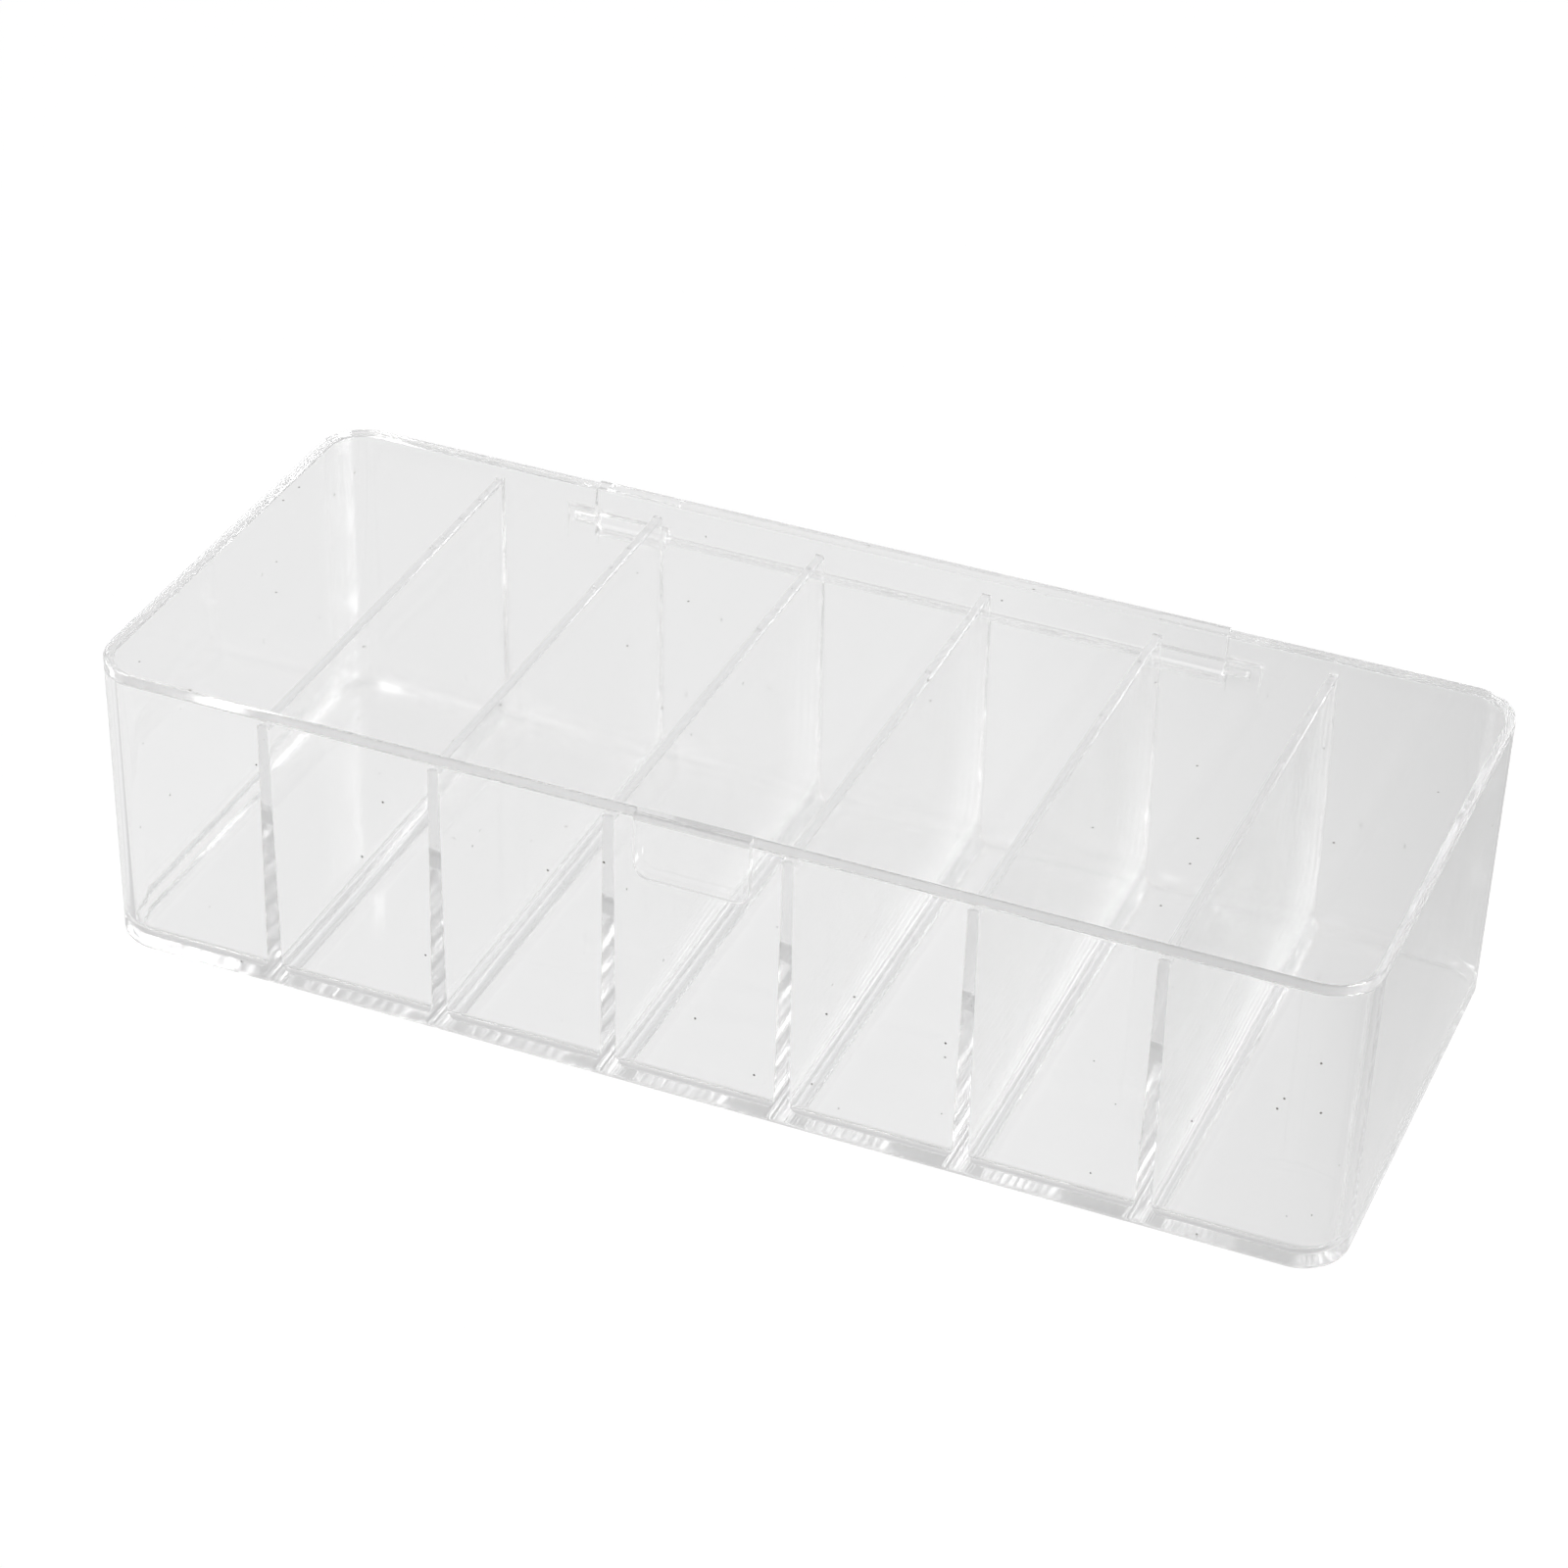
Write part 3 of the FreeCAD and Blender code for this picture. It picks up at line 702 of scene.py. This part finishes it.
def lid_plate(sizes):
    """The flat plate with its rounded top edge and barely rounded lower edge."""
    under, edge = LID_UNDER_ROUND, sizes.lid_round
    loops = []
    for angle in quarter(90, 0, SMALL_ROUND_STEPS):
        inset = under * (1 - math.cos(angle))
        loops.append(plan_loop(HALF_LENGTH - inset, HALF_WIDTH - inset, sizes.corner - inset,
                               RIM + under * (1 - math.sin(angle))))
    for angle in quarter(0, 90):
        inset = edge * (1 - math.cos(angle))
        loops.append(plan_loop(HALF_LENGTH - inset, HALF_WIDTH - inset, sizes.corner - inset,
                               LID_TOP - edge * (1 - math.sin(angle))))
    return loft("hinged_lid_plate", loops)


def finger_tab(sizes):
    """The hooked tab at the middle of the lid's front edge."""
    front, inner = LID_LOW.y, LID_LOW.y + sizes.tab_thick
    root = -HALF_WIDTH + sizes.lid_round + TAB_ROOT
    low, half = LID_LOW.z, sizes.tab_width / 2
    profile = [(root, RIM), (root, LID_TOP), (front, LID_TOP), (front, low), (inner, low),
               (inner, RIM)]
    tab = extrude_profile("tab", profile, -half, half)
    for side in (-half, half):
        round_edges(tab, sizes.tab_corner, LARGE_ROUND_STEPS,
                    lambda p: abs(p.x - side) < TOUCH and abs(p.z - low) < TOUCH)
    round_edges(tab, TAB_SHOULDER, FILLET_STEPS,
                lambda p: abs(p.z - LID_TOP) < TOUCH and abs(p.y - front) < TOUCH)
    round_edges(tab, BROKEN_EDGE, SMALL_ROUND_STEPS,
                lambda p: abs(p.y - front) < TOUCH and p.z < LID_TOP - MM)
    return tab


def rear_flange(sizes):
    """The web behind the rear edge that carries the barrels."""
    outer = HALF_WIDTH + sizes.flange_proud
    inner = outer - sizes.flange_thick
    low = RIM - sizes.flange_depth
    half = sizes.hinge_span / 2 - sizes.end_gap
    cut, fillet = FLANGE_CHAMFER, FLANGE_FILLET
    under = RIM + OVERLAP
    profile = [(inner, low + cut), (inner + cut, low), (outer - cut, low), (outer, low + cut)]
    profile += arc(outer - sizes.lid_round, LID_TOP - sizes.lid_round, sizes.lid_round, 0, 90)
    profile += [(inner - 2 * fillet, LID_TOP), (inner - 2 * fillet, under)]
    profile += arc(inner - fillet, under - fillet, fillet, 90, 0)
    return extrude_profile("flange", profile, -half, half)


def barrel_and_pin(sizes, side):
    """A hinge barrel with its pin, turned about the hinge axis."""
    end = side * (sizes.hinge_span / 2 - sizes.end_gap)
    tip = end + side * sizes.pin_length
    cut = BARREL_CHAMFER
    stations = [
        (end - side * sizes.barrel_length, sizes.barrel_radius),
        (end - side * cut, sizes.barrel_radius),
        (end, sizes.barrel_radius - cut),
        (end, sizes.pin_radius),
        (tip - side * cut, sizes.pin_radius),
        (tip, sizes.pin_radius - cut),
    ]
    return loft("barrel", [[Vector((x, y, z)) for y, z in hinge_ring(radius)]
                           for x, radius in stations])


def ready(obj, node, body, material):
    """Dresses a finished piece and hangs it in the frame in its node's place."""
    polish_normals(obj)
    obj.data.materials.clear()
    obj.data.materials.append(material)
    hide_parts(node)
    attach(obj, body)


class ClearBoxAddTray(bpy.types.Operator):
    """Makes the tray with its dividers, rear notch and hinge bosses"""
    bl_idname = "clear_box.add_tray"
    bl_label = "Add Tray"

    def execute(self, context):
        sizes, look = context.scene.clear_box_sizes, context.scene.clear_box_look
        plastic = clear_polystyrene("Clear Polystyrene Tray", look, look.tray_roughness,
                                    painted_reflections=True)
        tray = tray_shell(sizes)
        tray.name = "clear_tray"
        blade = divider_blade(sizes)
        run_tree(tray, divider_row_tree(), Divider=blade, Count=CELL_COUNT - 1,
                 Pitch=CELL_PITCH, Plastic=plastic)
        bpy.data.objects.remove(blade)
        for side in (-1, 1):
            combine(tray, hinge_boss(sizes, side), "UNION")
        combine(tray, rear_notch(sizes), "DIFFERENCE")
        for side in (-1, 1):
            combine(tray, bore(sizes, side), "DIFFERENCE")
        ready(tray, "base_tray", "tray", plastic)
        return {"FINISHED"}


class ClearBoxAddLid(bpy.types.Operator):
    """Makes the lid with its finger tab, flange, barrels and pins"""
    bl_idname = "clear_box.add_lid"
    bl_label = "Add Lid"

    def execute(self, context):
        sizes, look = context.scene.clear_box_sizes, context.scene.clear_box_look
        plastic = clear_polystyrene("Clear Polystyrene Lid", look, look.lid_roughness)
        lid = lid_plate(sizes)
        lid.name = "clear_lid"
        combine(lid, finger_tab(sizes), "UNION")
        combine(lid, rear_flange(sizes), "UNION")
        for side in (-1, 1):
            combine(lid, barrel_and_pin(sizes, side), "UNION")
        ready(lid, "hinged_lid", "lid", plastic)
        return {"FINISHED"}


# The photograph's camera: where it stands from what it looks at, and its lens
VIEW_TARGET = Vector((-4.23, 0, 41.88)) * MM
VIEW_AZIMUTH = math.radians(21.851)
VIEW_ELEVATION = math.radians(33.682)
VIEW_ROLL = math.radians(1.696)
VIEW_DISTANCE = 875.5 * MM
LENS_MM = 99.46
SIGHT = 20.0

# The soft lamps: the side of each panel and their places in metres, and their watts
SOFTBOX_SIDE = 0.9
KEY_PLACE = (-1.2, -0.6, 1.5)
KEY_WATTS = 12
SIDE_PLACE = (1.5, -0.5, 1.1)
SIDE_WATTS = 40

# The table in metres: its radius, how far it lies under the box, the way along which its glow
# is painted darker, and the distances from the box between which it turns to its open level
TABLE_RADIUS = 6.0
TABLE_POINTS = 96
TABLE_DROP = 0.1 * MM
PAINTED_FALL_WAY = (0.92, 0.39, 0.0)
OPEN_START = 0.25
OPEN_END = 0.6

# The painted shadow line under the front edge: how far in it lies, its core and its border
PAINTED_SHADOW_INSET = 4 * MM
PAINTED_SHADOW_CORE = 1 * MM
PAINTED_SHADOW_BORDER = 5 * MM

# Where the studio's level changes, as parts of a unit way: to the right, and upwards
SKY_LEFT_END = -0.7
SKY_RIGHT_END = 0.5
SKY_LOW_END = 0.1
SKY_TOP_END = 0.85

# A ray may turn many times inside the plastic, and one that is cut short leaves a black spot
RAY_TURNS = 1000
SHADOW_LAYERS = 32


def photo_camera():
    """Stands the camera where the photograph was taken from."""
    back = Vector((math.sin(VIEW_AZIMUTH) * math.cos(VIEW_ELEVATION),
                   -math.cos(VIEW_AZIMUTH) * math.cos(VIEW_ELEVATION),
                   math.sin(VIEW_ELEVATION)))
    level = Vector((math.cos(VIEW_AZIMUTH), math.sin(VIEW_AZIMUTH), 0))
    upright = back.cross(level)
    right = level * math.cos(VIEW_ROLL) + upright * math.sin(VIEW_ROLL)
    up = back.cross(right)
    data = bpy.data.cameras.new("Camera")
    data.lens = LENS_MM
    data.clip_end = SIGHT
    camera = bpy.data.objects.new("Camera", data)
    camera.matrix_world = Matrix((right, up, back)).transposed().to_4x4()
    camera.location = VIEW_TARGET + back * VIEW_DISTANCE
    bpy.context.scene.collection.objects.link(camera)
    bpy.context.scene.camera = camera


def softbox(name, place, watts):
    """A soft panel lamp that faces the box."""
    data = bpy.data.lights.new(name, "AREA")
    data.shape = "RECTANGLE"
    data.size = SOFTBOX_SIDE
    data.size_y = SOFTBOX_SIDE
    data.energy = watts
    lamp = bpy.data.objects.new(name, data)
    lamp.location = place
    lamp.rotation_euler = (-Vector(place)).to_track_quat("-Z", "Y").to_euler()
    bpy.context.scene.collection.objects.link(lamp)


def white_table(look):
    """A matt white table that mostly glows: pure white to the camera, with painted shade behind
    and under the plastic.

    Its glow is painted darker behind the box's right half, and a painted shadow line lies under
    the front edge, where the rounds of the floor throw the light aside.
    """
    material, tree = new_material("Matt White Table")
    place = add_node(tree, "ShaderNodeTexCoord").outputs["Object"]
    # Painted shade: the table's glow darkens along this way, from front left to back right
    away = add_node(tree, "ShaderNodeVectorMath", {"operation": "DOT_PRODUCT"},
                    i0=place, i1=PAINTED_FALL_WAY).outputs["Value"]
    painted_fall = add_node(tree, RANGE, None, Value=away, From_Min=look.painted_fall_start,
                    From_Max=look.painted_fall_end, To_Min=look.painted_table_near, To_Max=look.painted_table_far)
    distance = add_node(tree, "ShaderNodeVectorMath", {"operation": "LENGTH"},
                        i0=place).outputs["Value"]
    opening = add_node(tree, RANGE, SMOOTH, Value=distance, From_Min=OPEN_START,
                       From_Max=OPEN_END, To_Min=0.0, To_Max=1.0)
    lit = add_node(tree, "ShaderNodeMix", {"data_type": "FLOAT"},
                   i0=opening, i2=painted_fall, i3=look.table_open)
    axes = add_node(tree, "ShaderNodeSeparateXYZ", None, Vector=place).outputs
    # Painted shadow: a darker line in the table's glow under the front edge
    from_edge = add_node(tree, MATH, {"operation": "ADD"}, i0=axes["Y"],
                         i1=HALF_WIDTH - PAINTED_SHADOW_INSET)
    beside = add_node(tree, MATH, {"operation": "ABSOLUTE"}, i0=from_edge)
    painted_shadow = add_node(tree, RANGE, SMOOTH, Value=beside, From_Min=PAINTED_SHADOW_CORE,
                     From_Max=PAINTED_SHADOW_BORDER, To_Min=look.painted_edge_shadow, To_Max=1.0)
    painted_shade_level = add_node(tree, MATH, {"operation": "MULTIPLY"}, i0=lit, i1=painted_shadow)
    # The camera sees plain white, while rays through the plastic see the painted shade
    path = add_node(tree, "ShaderNodeLightPath")
    level = add_node(tree, "ShaderNodeMix", {"data_type": "FLOAT"},
                     i0=path.outputs["Is Camera Ray"], i2=painted_shade_level, i3=1.0)
    matt = add_node(tree, "ShaderNodeBsdfDiffuse", None, Color=look.table_colour)
    glow = add_node(tree, "ShaderNodeEmission", None, Color=(1, 1, 1, 1), Strength=level)
    mixed = add_node(tree, "ShaderNodeMixShader", None, i0=look.table_glow, i1=matt, i2=glow)
    add_node(tree, "ShaderNodeOutputMaterial", None, Surface=mixed)
    bm = bmesh.new()
    bmesh.ops.create_circle(bm, cap_ends=True, segments=TABLE_POINTS, radius=TABLE_RADIUS)
    table = finish_bmesh("white_table", bm)
    table.location.z = -TABLE_DROP
    table.data.materials.append(material)


def studio_sky(look):
    """A pale studio: bright low down and to the left, dimmer overhead and to the right."""
    world = bpy.data.worlds.new("Studio")
    world.use_nodes = True
    tree = world.node_tree
    tree.nodes.clear()
    bpy.context.scene.world = world
    way = add_node(tree, "ShaderNodeTexCoord")
    split = add_node(tree, "ShaderNodeSeparateXYZ", None, Vector=way.outputs["Generated"])
    across = add_node(tree, RANGE, SMOOTH, Value=split.outputs["X"], From_Min=SKY_LEFT_END,
                      From_Max=SKY_RIGHT_END, To_Min=look.sky_left, To_Max=look.sky_right)
    height = add_node(tree, RANGE, SMOOTH, Value=split.outputs["Z"], From_Min=SKY_LOW_END,
                      From_Max=SKY_TOP_END, To_Min=0.0, To_Max=1.0)
    level = add_node(tree, "ShaderNodeMix", {"data_type": "FLOAT"},
                     i0=height, i2=across, i3=look.sky_top)
    path = add_node(tree, "ShaderNodeLightPath")
    seen = add_node(tree, "ShaderNodeMix", {"data_type": "FLOAT"},
                    i0=path.outputs["Is Camera Ray"], i2=level, i3=1.0)
    sky = add_node(tree, "ShaderNodeBackground", None, Color=(1, 1, 1, 1), Strength=seen)
    add_node(tree, "ShaderNodeOutputWorld", None, Surface=sky)


class ClearBoxAddStudio(bpy.types.Operator):
    """Makes the white table, the soft lamps, the studio round them and the camera"""
    bl_idname = "clear_box.add_studio"
    bl_label = "Add Studio"

    def execute(self, context):
        photo_camera()
        white_table(context.scene.clear_box_look)
        studio_sky(context.scene.clear_box_look)
        softbox("Key Softbox", KEY_PLACE, KEY_WATTS)
        softbox("Side Softbox", SIDE_PLACE, SIDE_WATTS)
        scene = context.scene
        scene.view_settings.view_transform = "Standard"
        scene.cycles.max_bounces = RAY_TURNS
        scene.cycles.transmission_bounces = RAY_TURNS
        scene.cycles.glossy_bounces = RAY_TURNS
        scene.cycles.transparent_max_bounces = SHADOW_LAYERS
        return {"FINISHED"}


class ClearBoxPanel(bpy.types.Panel):
    """Lists the box's sizes and the buttons that make its pieces"""
    bl_idname = "VIEW3D_PT_clear_box"
    bl_label = "Clear Box"
    bl_space_type = "VIEW_3D"
    bl_region_type = "UI"
    bl_category = "Clear Box"

    def draw(self, context):
        layout = self.layout
        for group in (context.scene.clear_box_sizes, context.scene.clear_box_look):
            for name in group.__annotations__:
                layout.prop(group, name)
        for operator in (ClearBoxAddTray, ClearBoxAddLid, ClearBoxAddStudio):
            layout.operator(operator.bl_idname)


CLASSES = (ClearBoxSizes, ClearBoxLook, ClearBoxAddTray, ClearBoxAddLid, ClearBoxAddStudio,
           ClearBoxPanel)


def register():
    """Makes the classes and the two groups of settings known."""
    for cls in CLASSES:
        bpy.utils.register_class(cls)
    bpy.types.Scene.clear_box_sizes = bpy.props.PointerProperty(type=ClearBoxSizes)
    bpy.types.Scene.clear_box_look = bpy.props.PointerProperty(type=ClearBoxLook)


def unregister():
    """Undoes register."""
    del bpy.types.Scene.clear_box_look
    del bpy.types.Scene.clear_box_sizes
    for cls in reversed(CLASSES):
        bpy.utils.unregister_class(cls)


def main():
    """Makes the pieces and the studio."""
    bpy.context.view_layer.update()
    register()
    bpy.ops.clear_box.add_tray()
    bpy.ops.clear_box.add_lid()
    bpy.ops.clear_box.add_studio()


if __name__ == "__main__":
    main()
